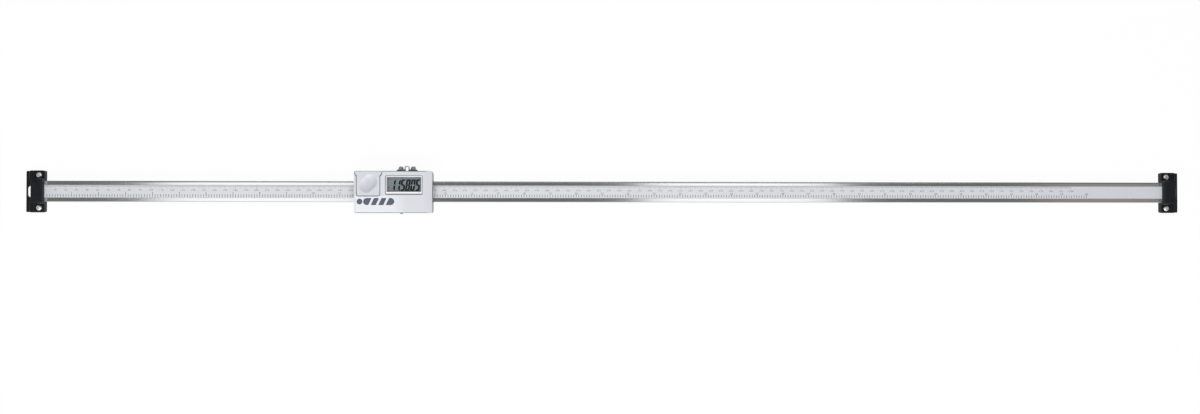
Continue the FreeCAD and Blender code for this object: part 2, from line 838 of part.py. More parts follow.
def make_saddle_strap():
    # Sheet strip bent to an arch with two feet, drawn as a closed section in X and Y.
    t = strap_thickness
    y0 = strap_seat
    spring = y0 + t + strap_leg
    inner = strap_bore_radius
    outer = inner + t
    reach = strap_reach
    foot_top = y0 + t
    bend = strap_bend
    z0 = rail_height - strap_width / 2

    def at(x, y):
        return V(strap_x + x, y, z0)

    def line(a, b):
        return Part.LineSegment(at(*a), at(*b)).toShape()

    def arc(a, b, c):
        return Part.Arc(at(*a), at(*b), at(*c)).toShape()

    turn = bend * (1 - math.sqrt(0.5))
    edges = [
        line((-reach, y0), (-inner, y0)),
        line((-inner, y0), (-inner, spring)),
        arc((-inner, spring), (0, spring + inner), (inner, spring)),
        line((inner, spring), (inner, y0)),
        line((inner, y0), (reach, y0)),
        line((reach, y0), (reach, foot_top)),
        line((reach, foot_top), (outer + bend, foot_top)),
        arc((outer + bend, foot_top), (outer + turn, foot_top + turn), (outer, foot_top + bend)),
        line((outer, foot_top + bend), (outer, spring)),
        arc((outer, spring), (0, spring + outer), (-outer, spring)),
        line((-outer, spring), (-outer, foot_top + bend)),
        arc((-outer, foot_top + bend), (-outer - turn, foot_top + turn), (-outer - bend, foot_top)),
        line((-outer - bend, foot_top), (-reach, foot_top)),
        line((-reach, foot_top), (-reach, y0)),
    ]
    strap = Part.Face(Part.Wire(edges)).extrude(V(0, 0, strap_width))
    for x in strap_screw_xs:
        strap = strap.cut(rod(x, y0 - overcut, rail_height, strap_screw_radius + 2 * thread_gap,
                              t + 2 * overcut, Y_AXIS))
    return strap


def make_strap_washers():
    y = strap_seat + strap_thickness
    washers = []
    for x in strap_screw_xs:
        disc = rod(x, y, rail_height, washer_radius, washer_thickness, Y_AXIS)
        bore = rod(x, y - overcut, rail_height, strap_screw_radius + 2 * thread_gap,
                   washer_thickness + 2 * overcut, Y_AXIS)
        washers.append(disc.cut(bore))
    return group(washers)


def make_strap_screws():
    y = strap_seat + strap_thickness + washer_thickness
    screw = pan_screw(strap_head_radius, strap_head_height, strap_screw_radius, strap_screw_length)
    screw = screw.rotated(ORIGIN, X_AXIS, -90)
    return group([screw.translated(V(x, y, rail_height)) for x in strap_screw_xs])


# Write one file for each piece

bracket_base = make_bracket_base()
bracket_cap = make_bracket_cap()
bracket_screws = make_bracket_screws()
head_form = make_head_form()
keys = make_keys()

nodes = {
    "beam": make_beam(),
    "scale_grid": make_strip(channel_floor, channel_floor + grid_thickness),
    "scale_label": make_strip(beam_face - label_thickness, beam_face),
    "left_bracket_base": bracket_base,
    "left_bracket_cap": bracket_cap,
    "left_bracket_screws": bracket_screws,
    "right_bracket_base": mirrored(bracket_base),
    "right_bracket_cap": mirrored(bracket_cap),
    "right_bracket_screws": mirrored(bracket_screws),
    "slider_frame": make_slider_frame(),
    "back_plate": make_back_plate(),
    "back_plate_screws": make_back_plate_screws(),
    "gib_strip": make_gib_strip(),
    "gib_screws": make_gib_screws(),
    "front_housing": make_front_housing(head_form),
    "housing_screws": make_housing_screws(),
    "battery_door": make_battery_door(head_form),
    "display_lens": make_display_lens(),
    "display_panel": make_display_panel(),
    "display_connectors": make_display_connectors(),
    "display_holder": make_display_holder(),
    "circuit_board": make_circuit_board(),
    "controller_chip": make_controller_chip(),
    "key_mat": make_key_mat(),
    "battery": make_battery(),
    "negative_contact": make_negative_contact(),
    "positive_contact": make_positive_contact(),
    "round_key": keys[0],
    "left_end_key": keys[1],
    "inner_left_key": keys[2],
    "inner_right_key": keys[3],
    "right_end_key": keys[4],
    "saddle_strap": make_saddle_strap(),
    "strap_washers": make_strap_washers(),
    "strap_screws": make_strap_screws(),
}

os.makedirs("parts", exist_ok=True)
for name, shape in nodes.items():
    shape.exportStep("parts/" + name + ".step")
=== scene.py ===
import math

import bmesh
import bpy
from mathutils import Matrix, Vector


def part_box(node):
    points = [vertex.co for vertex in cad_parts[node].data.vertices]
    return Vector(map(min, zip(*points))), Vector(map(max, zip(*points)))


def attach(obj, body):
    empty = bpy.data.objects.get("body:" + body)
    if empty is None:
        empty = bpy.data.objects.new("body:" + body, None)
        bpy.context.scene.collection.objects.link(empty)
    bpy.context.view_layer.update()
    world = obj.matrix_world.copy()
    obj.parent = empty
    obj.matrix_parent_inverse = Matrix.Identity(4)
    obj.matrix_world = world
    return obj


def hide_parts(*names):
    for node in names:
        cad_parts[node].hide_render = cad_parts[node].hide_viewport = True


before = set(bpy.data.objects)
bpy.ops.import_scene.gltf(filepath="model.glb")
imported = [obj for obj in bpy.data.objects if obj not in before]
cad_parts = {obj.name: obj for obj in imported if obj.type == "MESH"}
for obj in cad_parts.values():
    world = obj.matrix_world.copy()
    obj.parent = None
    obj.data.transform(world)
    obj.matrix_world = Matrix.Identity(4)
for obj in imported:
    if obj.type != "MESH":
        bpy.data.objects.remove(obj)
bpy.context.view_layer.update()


# Beam: a flat bar of hardened stainless steel, ground along its length, with bright lands
# on both sides of the label's channel. The ends are blasted matt and clamped in the brackets.

MM = 0.001
EVEN = (1.0, 1.0, 1.0)


class Field:
    """A value that varies over a surface. Python maths on it adds Math nodes to the material."""

    def __init__(self, tree, socket):
        self.tree = tree
        self.socket = socket

    def node(self, kind, settings=None, out=0, **links):
        # Settings are set first, then the sockets' values or links; i0 stands for the first socket.
        made = self.tree.nodes.new("ShaderNode" + kind)
        for key, value in (settings or {}).items():
            setattr(made, key, value)
        for key, value in links.items():
            place = int(key[1:]) if key[0] == "i" and key[1:].isdigit() else key.replace("_", " ")
            if isinstance(value, Field):
                self.tree.links.new(value.socket, made.inputs[place])
            else:
                made.inputs[place].default_value = value
        return Field(self.tree, made.outputs[out])

    def maths(self, operation, first, second=0.0):
        return self.node("Math", {"operation": operation}, i0=first, i1=second)

    def __add__(self, other):
        return self.maths("ADD", self, other)

    __radd__ = __add__

    def __sub__(self, other):
        return self.maths("SUBTRACT", self, other)

    def __rsub__(self, other):
        return self.maths("SUBTRACT", other, self)

    def __mul__(self, other):
        return self.maths("MULTIPLY", self, other)

    __rmul__ = __mul__

    def __pow__(self, other):
        return self.maths("POWER", self, other)

    def __rpow__(self, other):
        return self.maths("POWER", other, self)

    def __abs__(self):
        return self.maths("ABSOLUTE", self)

    def axis(self, letter):
        # One component of this vector: X, Y or Z.
        return self.node("SeparateXYZ", None, letter, i0=self)

    def step(self, low, high):
        # 0 at low and 1 at high, with a straight rise between them; low may be the larger one.
        return self.node("MapRange", Value=self, From_Min=low, From_Max=high)

    def blend(self, low, high):
        # Two colours or colour fields, mixed by this value.
        low, high = (c if isinstance(c, Field) else (*c, 1.0) for c in (low, high))
        return self.node("Mix", {"data_type": "RGBA"}, 2, i0=self, i6=low, i7=high)

    def grain(self, scale, detail, stretch=EVEN):
        # Noise on this vector, stretched by a Mapping node.
        placed = self.node("Mapping", i0=self, Scale=stretch)
        return self.node("TexNoise", Vector=placed, Scale=scale, Detail=detail)


def new_finish(name, **settings):
    """A new Principled material: returns it, its shader's inputs and the object coordinates."""
    material = bpy.data.materials.new(name)
    material.use_nodes = True
    tree = material.node_tree
    inputs = tree.nodes["Principled BSDF"].inputs
    for key, value in settings.items():
        inputs[key.replace("_", " ")].default_value = value
    place = tree.nodes.new("ShaderNodeTexCoord")
    return material, inputs, Field(tree, place.outputs["Object"])


def feed(inputs, socket, value):
    value.tree.links.new(value.socket, inputs[socket])


def bump(inputs, height, strength, distance):
    feed(inputs, "Normal", height.node("Bump", Height=height, Strength=strength, Distance=distance))


def dress(material, *names):
    # Packed nodes keep their shape and get this finish.
    for name in names:
        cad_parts[name].material_slots[0].material = material


def normal_of(place):
    # The surface normal in the object's own axes, from the same node as the coordinates.
    return Field(place.tree, place.socket.node.outputs["Normal"])


ALONG_X = (0.25, 60.0, 60.0)
DEEP_SHARE = 0.86
SAWN_GREY, SAWN_DULL = (0.36, 0.36, 0.37), 0.2
SAWN_FROM, SAWN_TO = 0.5, 0.2


def ground_steel(name, colour, dull, streaks):
    # Streaks along X vary the colour and the roughness of the ground faces; the sides are duller.
    material, inputs, place = new_finish(name, Metallic=1.0)
    streak = place.grain(60.0, 5.0, ALONG_X)
    cloud = place.grain(14.0, 2.0)
    sawn = abs(normal_of(place).axis("Z")).step(SAWN_FROM, SAWN_TO)
    deep = tuple(c * DEEP_SHARE for c in colour)
    tone = (streak * 0.6 + cloud * 0.4).blend(deep, colour)
    feed(inputs, "Base Color", (sawn * (streak * 0.4 + 0.75)).blend(tone, SAWN_GREY))
    bump(inputs, streak, 0.12, 0.02 * MM)
    return material, inputs, place, streak * streaks + sawn * SAWN_DULL + dull


BLAST_LENGTH, BLAST_FADE, BLAST_DULL = 10.0 * MM, 2.0 * MM, 0.3
beam_low, beam_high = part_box("beam")
beam_middle = (beam_low.x + beam_high.x) / 2
blast_start = beam_high.x - beam_middle - BLAST_LENGTH
material, inputs, place, rough = ground_steel("ground_beam", (0.66, 0.66, 0.67), 0.10, 0.10)
blasted = abs(place.axis("X") - beam_middle).step(blast_start - BLAST_FADE, blast_start)
feed(inputs, "Roughness", rough + blasted * BLAST_DULL)
dress(material, "beam")


# Measuring strip: a glass-fibre laminate with a fine copper grid, glued in the channel under
# the label. Only its ends could ever be seen.

ROUGHNESS_SPREAD = 0.2


def mottled(name, dark, light, scale, detail, stretch=EVEN, dull=None, relief=None, **settings):
    """A finish in which one grain varies the colour and, where asked, the roughness and the relief."""
    material, inputs, place = new_finish(name, **settings)
    grain = place.grain(scale, detail, stretch)
    feed(inputs, "Base Color", grain.blend(dark, light))
    if dull is not None:
        feed(inputs, "Roughness", grain * ROUGHNESS_SPREAD + dull)
    if relief is not None:
        bump(inputs, grain, *relief)
    return material


laminate = mottled("grid_laminate", (0.12, 0.08, 0.03), (0.22, 0.14, 0.05), 900.0, 3.0, Roughness=0.55)
dress(laminate, "scale_grid")


# Label: a pale printed film, satin, glued in the channel over the measuring strip. It lies flush
# with the steel lands.

material, inputs, place = new_finish("label_film")
speck = place.grain(700.0, 3.0)
drift = place.grain(9.0, 1.0)
tone = speck * 0.35 + drift * 0.65
feed(inputs, "Base Color", tone.blend((0.62, 0.63, 0.67), (0.73, 0.74, 0.77)))
feed(inputs, "Roughness", speck * 0.15 + 0.33)
dress(material, "scale_label")


# Graduations: grey-black ink printed on the label between two border lines. Millimetre ticks hang
# from the upper edge and tenth-inch ticks stand over the lower one; every tenth is numbered.

INK_HEIGHT = 0.02 * MM
DIGITS = "0123456789"
FIGURE_SHARE = 0.69
MM_COUNT, TENTH_COUNT, TENTH_INCH = 1000, 400, 2.54 * MM
LABEL_MARGIN, BORDER_GAP, BORDER_WIDTH = 0.35 * MM, 0.06 * MM, 0.14 * MM
MM_TICK, MM_FIVE, MM_TEN, MM_WIDTH = 1.5 * MM, 2.1 * MM, 2.9 * MM, 0.2 * MM
MM_NUMBER_Y, MM_NUMBER, MM_SPREAD = 1.3 * MM, 1.5 * MM, 1.5 * MM
INCH_FOOT, INCH_TICK, INCH_HALF, INCH_WIDTH = -5.2 * MM, 2.3 * MM, 2.6 * MM, 0.45 * MM
INCH_NUMBER_Y, INCH_NUMBER, INCH_SPREAD = -1.55 * MM, 1.9 * MM, 1.6 * MM

label_low, label_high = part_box("scale_label")
label_top = label_high.z
label_half = (label_high.y - label_low.y) / 2
zero_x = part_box("left_bracket_cap")[1].x


def ink_bar(bm, x, y0, y1, width):
    size = Matrix.Diagonal((width, y1 - y0, INK_HEIGHT, 1.0))
    place = Matrix.Translation((x, (y0 + y1) / 2, label_top + INK_HEIGHT / 2))
    bmesh.ops.create_cube(bm, size=1.0, matrix=place @ size)


def digit_mesh(text, height):
    # One numeral as a thin solid, its middle at the origin. It fills a share of the font's size.
    curve = bpy.data.curves.new("numeral", "FONT")
    curve.body = text
    curve.size = height / FIGURE_SHARE
    curve.resolution_u = 2
    curve.extrude = INK_HEIGHT / 2
    curve.align_x = "CENTER"
    holder = bpy.data.objects.new("numeral", curve)
    bpy.context.scene.collection.objects.link(holder)
    bpy.context.view_layer.update()
    drawn = holder.evaluated_get(bpy.context.evaluated_depsgraph_get())
    mesh = bpy.data.meshes.new_from_object(drawn)
    bpy.data.objects.remove(holder)
    mesh.transform(Matrix.Translation((0, -height / 2, 0)))
    return mesh


def paste(bm, mesh, matrix):
    # A copy of the mesh, added at its place.
    before = len(bm.verts)
    bm.from_mesh(mesh)
    bm.verts.ensure_lookup_table()
    bmesh.ops.transform(bm, matrix=matrix, verts=bm.verts[before:])


def print_number(bm, digits, text, x, y, pitch):
    for count, digit in enumerate(text):
        shift = (count - (len(text) - 1) / 2) * pitch
        paste(bm, digits[digit], Matrix.Translation((x + shift, y, label_top + INK_HEIGHT / 2)))


def add_piece(name, bm, material, body):
    mesh = bpy.data.meshes.new(name)
    bm.to_mesh(mesh)
    bm.free()
    mesh.materials.append(material)
    piece = bpy.data.objects.new(name, mesh)
    bpy.context.scene.collection.objects.link(piece)
    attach(piece, body)
    return piece


ink = mottled("printed_ink", (0.03, 0.03, 0.037), (0.06, 0.06, 0.07), 1500.0, 2.0, Roughness=0.5)

bm = bmesh.new()
for y in (label_half - BORDER_GAP - BORDER_WIDTH, BORDER_GAP - label_half):
    ink_bar(bm, (label_low.x + label_high.x) / 2, y, y + BORDER_WIDTH, label_high.x - label_low.x)
upper = label_half - LABEL_MARGIN
for count in range(1, MM_COUNT + 1):
    length = MM_TEN if count % 10 == 0 else MM_FIVE if count % 5 == 0 else MM_TICK
    ink_bar(bm, zero_x + count * MM, upper - length, upper, MM_WIDTH)
for count in range(1, TENTH_COUNT + 1):
    length = INCH_HALF if count % 5 == 0 else INCH_TICK
    ink_bar(bm, zero_x + count * TENTH_INCH, INCH_FOOT, INCH_FOOT + length, INCH_WIDTH)
add_piece("graduations", bm, ink, "scale")

bm = bmesh.new()
small = {d: digit_mesh(d, MM_NUMBER) for d in DIGITS}
large = {d: digit_mesh(d, INCH_NUMBER) for d in DIGITS}
for count in range(10, MM_COUNT + 1, 10):
    print_number(bm, small, str(count), zero_x + count * MM, MM_NUMBER_Y, MM_SPREAD)
for count in range(10, TENTH_COUNT + 1, 10):
    print_number(bm, large, str(count // 10), zero_x + count * TENTH_INCH, INCH_NUMBER_Y, INCH_SPREAD)
add_piece("graduation_numbers", bm, ink, "scale")


# Brackets: black moulded plastic with a fine spark-eroded texture. A foot plate and a cap hold
# each end of the beam between them.

material, inputs, place = new_finish("black_moulding", Specular_IOR_Level=0.17)
spark = place.grain(2600.0, 3.0)
scuff = place.grain(180.0, 4.0)
feed(inputs, "Base Color", scuff.blend((0.005, 0.006, 0.008), (0.014, 0.015, 0.018)))
feed(inputs, "Roughness", spark * 0.2 + scuff * 0.15 + 0.28)
bump(inputs, spark, 0.25, 0.06 * MM)
dress(material, "left_bracket_base", "left_bracket_cap", "right_bracket_base", "right_bracket_cap")


# Bracket screws: nickel-plated pan heads with a cross recess, two to a bracket. They pass
# through the cap's ears into the foot.

ROUND_STEPS, MERGE_GAP = 40, 1e-7
SHARP_TURN = math.radians(35)
RECESS_TAPER = 0.7

# A pan head's form, as shares of its radius or height, and the tip's as shares of the shank's radius.
RIM_HEIGHT, SEAT_RADIUS, SEAT_ROUND = 0.42, 0.96, 0.15
CROWN_ANGLES = [math.radians(d) for d in (0, 10, 20, 31, 42, 52)]
PAN_ARM, PAN_SLOT, PAN_DEPTH = 0.52, 0.24, 0.5
TIP_RADIUS, TIP_LENGTH = 0.8, 0.3


def lathe(profile, closed=False):
    # A shell of revolution about Z from points of radius and height; a closed profile makes a ring.
    bm = bmesh.new()
    points = [bm.verts.new((r, 0, z)) for r, z in profile]
    after = points[1:] + points[:1] if closed else points[1:]
    edges = [bm.edges.new(pair) for pair in zip(points, after)]
    bmesh.ops.spin(bm, geom=points + edges, cent=(0, 0, 0), axis=(0, 0, 1), angle=2 * math.pi,
                   steps=ROUND_STEPS, use_merge=True)
    bmesh.ops.remove_doubles(bm, verts=bm.verts, dist=MERGE_GAP)
    return bm


def join_round(bm, verts):
    # A closed ring of edges through the vertices.
    return [bm.edges.new((verts[i - 1], verts[i])) for i in range(len(verts))]


def cross_outline(arm, width):
    # The twelve corners of a cross round the origin: one quarter, turned four times.
    half = width / 2
    quarter = [Vector((arm, -half, 0)), Vector((arm, half, 0)), Vector((half, half, 0))]
    return [Matrix.Rotation(turn * math.pi / 2, 4, "Z") @ p for turn in range(4) for p in quarter]


def close_with_cross(bm, top, arm, width, depth):
    # A flat top over the shell's open rim, with a tapered cross recess sunk in it.
    rim = [e for e in bm.edges if e.is_boundary]
    mouth = join_round(bm, [bm.verts.new((p.x, p.y, top)) for p in cross_outline(arm, width)])
    bmesh.ops.triangle_fill(bm, edges=rim + mouth, use_beauty=True, normal=(0, 0, 1))
    sunk = bmesh.ops.extrude_edge_only(bm, edges=mouth)["geom"]
    low = [g for g in sunk if isinstance(g, bmesh.types.BMVert)]
    bmesh.ops.scale(bm, verts=low, vec=(RECESS_TAPER, RECESS_TAPER, 1.0))
    bmesh.ops.translate(bm, verts=low, vec=(0, 0, -depth))
    bmesh.ops.edgeloop_fill(bm, edges=[e for e in bm.edges if e.is_boundary])
    bmesh.ops.recalc_face_normals(bm, faces=bm.faces)
    return bm


def pan_head_screw(head_radius, head_height, shank_radius, shank_length):
    # A domed head with a cross recess on a plain shank; the seat is at z = 0.
    rim = head_height * RIM_HEIGHT
    crown = (head_height - rim) / math.sin(CROWN_ANGLES[-1])
    profile = [(0, -shank_length), (shank_radius * TIP_RADIUS, -shank_length),
               (shank_radius, shank_radius * TIP_LENGTH - shank_length), (shank_radius, 0),
               (head_radius * SEAT_RADIUS, 0), (head_radius, rim * SEAT_ROUND)]
    profile += [(head_radius * math.cos(a), rim + crown * math.sin(a)) for a in CROWN_ANGLES]
    return close_with_cross(lathe(profile), head_height, head_radius * PAN_ARM, head_radius * PAN_SLOT,
                            head_height * PAN_DEPTH)


def place_copies(source, matrices):
    # One mesh with a copy of the source at each matrix, its round faces shaded smooth.
    for face in source.faces:
        face.smooth = True
    for edge in source.edges:
        edge.smooth = edge.calc_face_angle(math.pi) < SHARP_TURN
    mesh = bpy.data.meshes.new("copy")
    source.to_mesh(mesh)
    source.free()
    bm = bmesh.new()
    for matrix in matrices:
        paste(bm, mesh, matrix)
    bpy.data.meshes.remove(mesh)
    return bm


HEAD_RADIUS, HEAD_HEIGHT, SHANK_RADIUS = 2.75 * MM, 2.0 * MM, 1.5 * MM
LEFT_TURN, RIGHT_TURN, NEXT_TURN = 0.5, 1.1, 0.7
nickel = mottled("nickel_plate", (0.80, 0.78, 0.76), (0.95, 0.93, 0.91), 1200.0, 4.0, dull=0.33,
                 Metallic=1.0)
for side, turn in (("left", LEFT_TURN), ("right", RIGHT_TURN)):
    low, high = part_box(side + "_bracket_screws")
    middle = (low.x + high.x) / 2
    seat = high.z - HEAD_HEIGHT
    screw = pan_head_screw(HEAD_RADIUS, HEAD_HEIGHT, SHANK_RADIUS, seat - low.z)
    spots = []
    for y, spin in ((low.y + HEAD_RADIUS, turn), (high.y - HEAD_RADIUS, turn + NEXT_TURN)):
        spots.append(Matrix.Translation((middle, y, seat)) @ Matrix.Rotation(spin, 4, "Z"))
    heads = place_copies(screw, spots)
    piece = add_piece(side + "_bracket_screw_heads", heads, nickel, "scale")
    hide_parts(side + "_bracket_screws")


# Slider frame: a light-metal casting milled where it runs on the beam. The back plate closes
# it behind the beam.

casting = mottled("cast_frame", (0.25, 0.255, 0.265), (0.36, 0.365, 0.375), 1400.0, 4.0, dull=0.32,
                  relief=(0.2, 0.05 * MM), Metallic=0.9)
dress(casting, "slider_frame")


# Back plate: ground steel. It closes the slider frame behind the beam, and four countersunk
# screws hold it.

material, inputs, place, rough = ground_steel("ground_plate", (0.56, 0.56, 0.57), 0.2, 0.18)
feed(inputs, "Roughness", rough)
dress(material, "back_plate")


# Back plate screws: nickel-plated and countersunk, with a cross recess. They go through the plate
# into the frame from behind.

FLAT_HEAD, FLAT_SHANK = 2.375 * MM, 1.25 * MM
FLAT_ARM, FLAT_SLOT, FLAT_DEPTH = 0.6, 0.26, 0.7
low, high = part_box("back_plate_screws")
length = high.z - low.z
taper = FLAT_HEAD - FLAT_SHANK
shell = lathe([(0, -length), (FLAT_SHANK, -length), (FLAT_SHANK, -taper), (FLAT_HEAD, 0)])
screw = close_with_cross(shell, 0.0, FLAT_HEAD * FLAT_ARM, FLAT_HEAD * FLAT_SLOT, taper * FLAT_DEPTH)
spots = []
for x in (low.x + FLAT_HEAD, high.x - FLAT_HEAD):
    for y in (low.y + FLAT_HEAD, high.y - FLAT_HEAD):
        spots.append(Matrix.Translation((x, y, low.z)) @ Matrix.Rotation(math.pi, 4, "X"))
heads = place_copies(screw, spots)
piece = add_piece("back_plate_screw_heads", heads, nickel, "reading_head")
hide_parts("back_plate_screws")


# Gib: a rolled bronze strip in the slider frame. It bears on the beam's lower edge and takes up
# the play.

bronze = mottled("gib_bronze", (0.45, 0.28, 0.10), (0.60, 0.42, 0.17), 90.0, 4.0, (0.3, 40.0, 40.0),
                 dull=0.22, Metallic=1.0)
dress(bronze, "gib_strip")


# Gib screws and housing screws: oxidised steel. Two slotted grub screws set the gib, and four
# screws hold the front housing from behind.

oxidised = mottled("grub_steel", (0.22, 0.22, 0.23), (0.42, 0.42, 0.43), 1500.0, 3.0, dull=0.25,
                   Metallic=1.0)
dress(oxidised, "gib_screws", "housing_screws")


# Front housing: moulded grey plastic, screwed on from behind. A silver satin lacquer lies on its front
# only, and the bare grey of the sides and edges is set dark as painted shade. A paler patch round the
# keys is a painted highlight.

def silver_lacquer(name, dark, light, gloss):
    # The lacquer's grain as a colour field, with the shine and the fine bumps of it.
    material, inputs, place = new_finish(name)
    flake = place.grain(4200.0, 2.0)
    cloud = place.grain(45.0, 2.0)
    feed(inputs, "Roughness", flake * 0.14 + gloss)
    bump(inputs, flake, 0.08, 0.03 * MM)
    return material, inputs, place, (flake * 0.5 + cloud * 0.5).blend(dark, light)


# The bare grey is darker than the plain moulding: it paints the shade on the top edge and the right side.
BARE_GREY_AND_SHADE, KEY_HIGHLIGHT = (0.225, 0.235, 0.26), (0.93, 0.94, 0.97)
HOUSING_DARK, HOUSING_LIGHT = (0.67, 0.69, 0.735), (0.765, 0.785, 0.83)
material, inputs, place, silver = silver_lacquer("silver_housing", HOUSING_DARK, HOUSING_LIGHT, 0.27)
across = place.axis("X")
tilt = normal_of(place)
facing = tilt.axis("Z")

# The painted highlight is full as far as the last key, and fades out past it and above the keys.
HIGHLIGHT_FULL_X, HIGHLIGHT_END_X = -1.0 * MM, 11.0 * MM
HIGHLIGHT_FULL_Y, HIGHLIGHT_END_Y = 1.5 * MM, 3.0 * MM
keys_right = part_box("right_end_key")[1].x
keys_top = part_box("round_key")[1].y
key_highlight = across.step(keys_right + HIGHLIGHT_END_X, keys_right + HIGHLIGHT_FULL_X)
key_highlight *= place.axis("Y").step(keys_top + HIGHLIGHT_END_Y, keys_top + HIGHLIGHT_FULL_Y)

# Lacquer lies on the chamfers beside the door too, where the normal has 0.707 on X and on Z, but
# not on the one along the housing's own left edge.
CHAMFER_FROM, CHAMFER_TO = 0.6, 0.7
FRONT_FROM, FRONT_TO = 0.93, 0.972
EDGE, EDGE_FADE, TRACK_WALL = 1.05 * MM, 0.105 * MM, 2.0 * MM
housing_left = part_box("front_housing")[0].x
track_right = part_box("battery_door")[1].x + TRACK_WALL
chamfer = abs(tilt.axis("X")).step(CHAMFER_FROM, CHAMFER_TO) * facing.step(CHAMFER_FROM, CHAMFER_TO)
chamfer *= across.step(housing_left + EDGE - EDGE_FADE, housing_left + EDGE)
chamfer *= across.step(track_right + EDGE, track_right)
front = facing.step(FRONT_FROM, FRONT_TO)
coated = front.maths("MAXIMUM", front, chamfer)
# Bare grey with painted shade where the lacquer stops, and a painted highlight over the keys.
feed(inputs, "Base Color", coated.blend(BARE_GREY_AND_SHADE, (key_highlight * 0.5).blend(silver, KEY_HIGHLIGHT)))
feed(inputs, "Metallic", coated * 0.2)
dress(material, "front_housing")


# Battery door: the same moulding and lacquer. It slides out over the head's top edge and its tongue runs
# in the housing's track.
# The tongue is painted dark as shade in the door's gap, and painted shade darkens the low side of its
# dish.

TONGUE_GAP_SHADE, DISH_SHADE = (0.06, 0.065, 0.08), (0.53, 0.55, 0.59)
DOOR_DARK, DOOR_LIGHT = (0.61, 0.63, 0.675), (0.705, 0.725, 0.765)
TONGUE_RISE, COAT_FADE = 1.2 * MM, 0.1 * MM
DISH_FROM, DISH_TO = 0.02 * MM, 0.15 * MM
SHADE_BEFORE, SHADE_PAST = 9.0 * MM, 8.0 * MM
cell_low, cell_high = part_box("battery")
cell_middle = (cell_low + cell_high) / 2
door_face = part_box("battery_door")[1].z
tongue_top = cell_high.z + TONGUE_RISE
material, inputs, place, silver = silver_lacquer("silver_door", DOOR_DARK, DOOR_LIGHT, 0.36)
height = place.axis("Z")
# Below the door's face the tongue is painted dark, as the shade in the gap round the door.
coat_above_shade = height.step(tongue_top, tongue_top + COAT_FADE)
hollow = height.step(door_face - DISH_FROM, door_face - DISH_TO)

# The dish lies over the middle of the cell, and its painted shade is on the side down to the right.
slope = place.axis("X") - place.axis("Y")
slope_middle = cell_middle.x - cell_middle.y
dish_shade = hollow * slope.step(slope_middle - SHADE_BEFORE, slope_middle + SHADE_PAST)
# Painted shade: the tongue in the gap and the low side of the dish.
feed(inputs, "Base Color", coat_above_shade.blend(TONGUE_GAP_SHADE, dish_shade.blend(silver, DISH_SHADE)))
feed(inputs, "Metallic", coat_above_shade * 0.1)
dress(material, "battery_door")


# Display lens: a clear window on the housing's ledge. A grey outline printed on its face is a painted
# shadow line along the window's edge, and the white margin inside it is print and, set wider below, a
# painted highlight of the lit ledge.

def bare_material(name):
    # A new material with no shader yet, and its node tree.
    material = bpy.data.materials.new(name)
    material.use_nodes = True
    tree = material.node_tree
    tree.nodes.remove(tree.nodes["Principled BSDF"])
    return material, tree


GLEAM_LEAST, GLEAM_RISE, GLEAM_POWER = 0.015, 0.98, 5.0
lens, tree = bare_material("clear_lens")
aside = Field(tree, tree.nodes.new("ShaderNodeLayerWeight").outputs["Facing"])
gleam = aside ** GLEAM_POWER * GLEAM_RISE + GLEAM_LEAST
clear = gleam.node("BsdfTransparent", Color=(0.97, 0.98, 0.98, 1.0))
gloss = gleam.node("BsdfGlossy", Color=(1.0, 1.0, 1.0, 1.0), Roughness=0.03)
mixed = gleam.node("MixShader", i0=gleam, i1=clear, i2=gloss)
feed(tree.nodes["Material Output"].inputs, "Surface", mixed)
dress(lens, "display_lens")

MARGIN_SIDE, MARGIN_HIGH, MARGIN_LOW = 0.78 * MM, 0.93 * MM, 2.28 * MM
PRINT_HEIGHT, PRINT_CORNER, CORNER_STEPS = 0.02 * MM, 0.8 * MM, 6
OUTLINE_INSET, MARGIN_FOOT = 0.05 * MM, 0.6 * MM
lens_low, lens_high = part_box("display_lens")


def rounded_loop(bm, x0, x1, y0, y1, radius, z):
    # A closed ring of edges round a rectangle with rounded corners.
    verts = []
    for cx, cy, start in ((x1 - radius, y1 - radius, 0), (x0 + radius, y1 - radius, 90),
                          (x0 + radius, y0 + radius, 180), (x1 - radius, y0 + radius, 270)):
        for count in range(CORNER_STEPS + 1):
            angle = math.radians(start + count * 90 / CORNER_STEPS)
            verts.append(bm.verts.new((cx + radius * math.cos(angle), cy + radius * math.sin(angle), z)))
    return join_round(bm, verts)


def raise_faces(bm, faces, height):
    # Flat faces extruded upwards into a thin closed solid.
    raised = bmesh.ops.extrude_face_region(bm, geom=faces)["geom"]
    tops = [g for g in raised if isinstance(g, bmesh.types.BMVert)]
    bmesh.ops.translate(bm, verts=tops, vec=(0, 0, height))


def print_frame(name, print_name, dark, light, foot, level):
    # A thin printed frame on the lens; the foot is how far its lower side is set in.
    bm = bmesh.new()
    base = lens_high.z + level * PRINT_HEIGHT
    outer = rounded_loop(bm, lens_low.x + OUTLINE_INSET, lens_high.x - OUTLINE_INSET, lens_low.y + foot,
                         lens_high.y - OUTLINE_INSET, PRINT_CORNER, base)
    inner = rounded_loop(bm, lens_low.x + MARGIN_SIDE, lens_high.x - MARGIN_SIDE, lens_low.y + MARGIN_LOW,
                         lens_high.y - MARGIN_HIGH, PRINT_CORNER / 2, base)
    bmesh.ops.triangle_fill(bm, edges=outer + inner, use_beauty=True, normal=(0, 0, 1))
    raise_faces(bm, bm.faces[:], PRINT_HEIGHT)
    bmesh.ops.recalc_face_normals(bm, faces=bm.faces)
    material = mottled(print_name, dark, light, 1600.0, 2.0, Roughness=0.35)
    add_piece(name, bm, material, "reading_head")


# The grey outline paints the shade at the window's edge.
print_frame("lens_shadow_line", "shadow_line_print", (0.36, 0.37, 0.40), (0.44, 0.45, 0.48), OUTLINE_INSET, 0)
# The white margin is print that also paints the ledge's highlight, wider below and narrow at the top.
print_frame("lens_margin_and_highlight", "white_print_and_highlight", (0.83, 0.84, 0.87), (0.90, 0.91, 0.93), MARGIN_FOOT, 1)


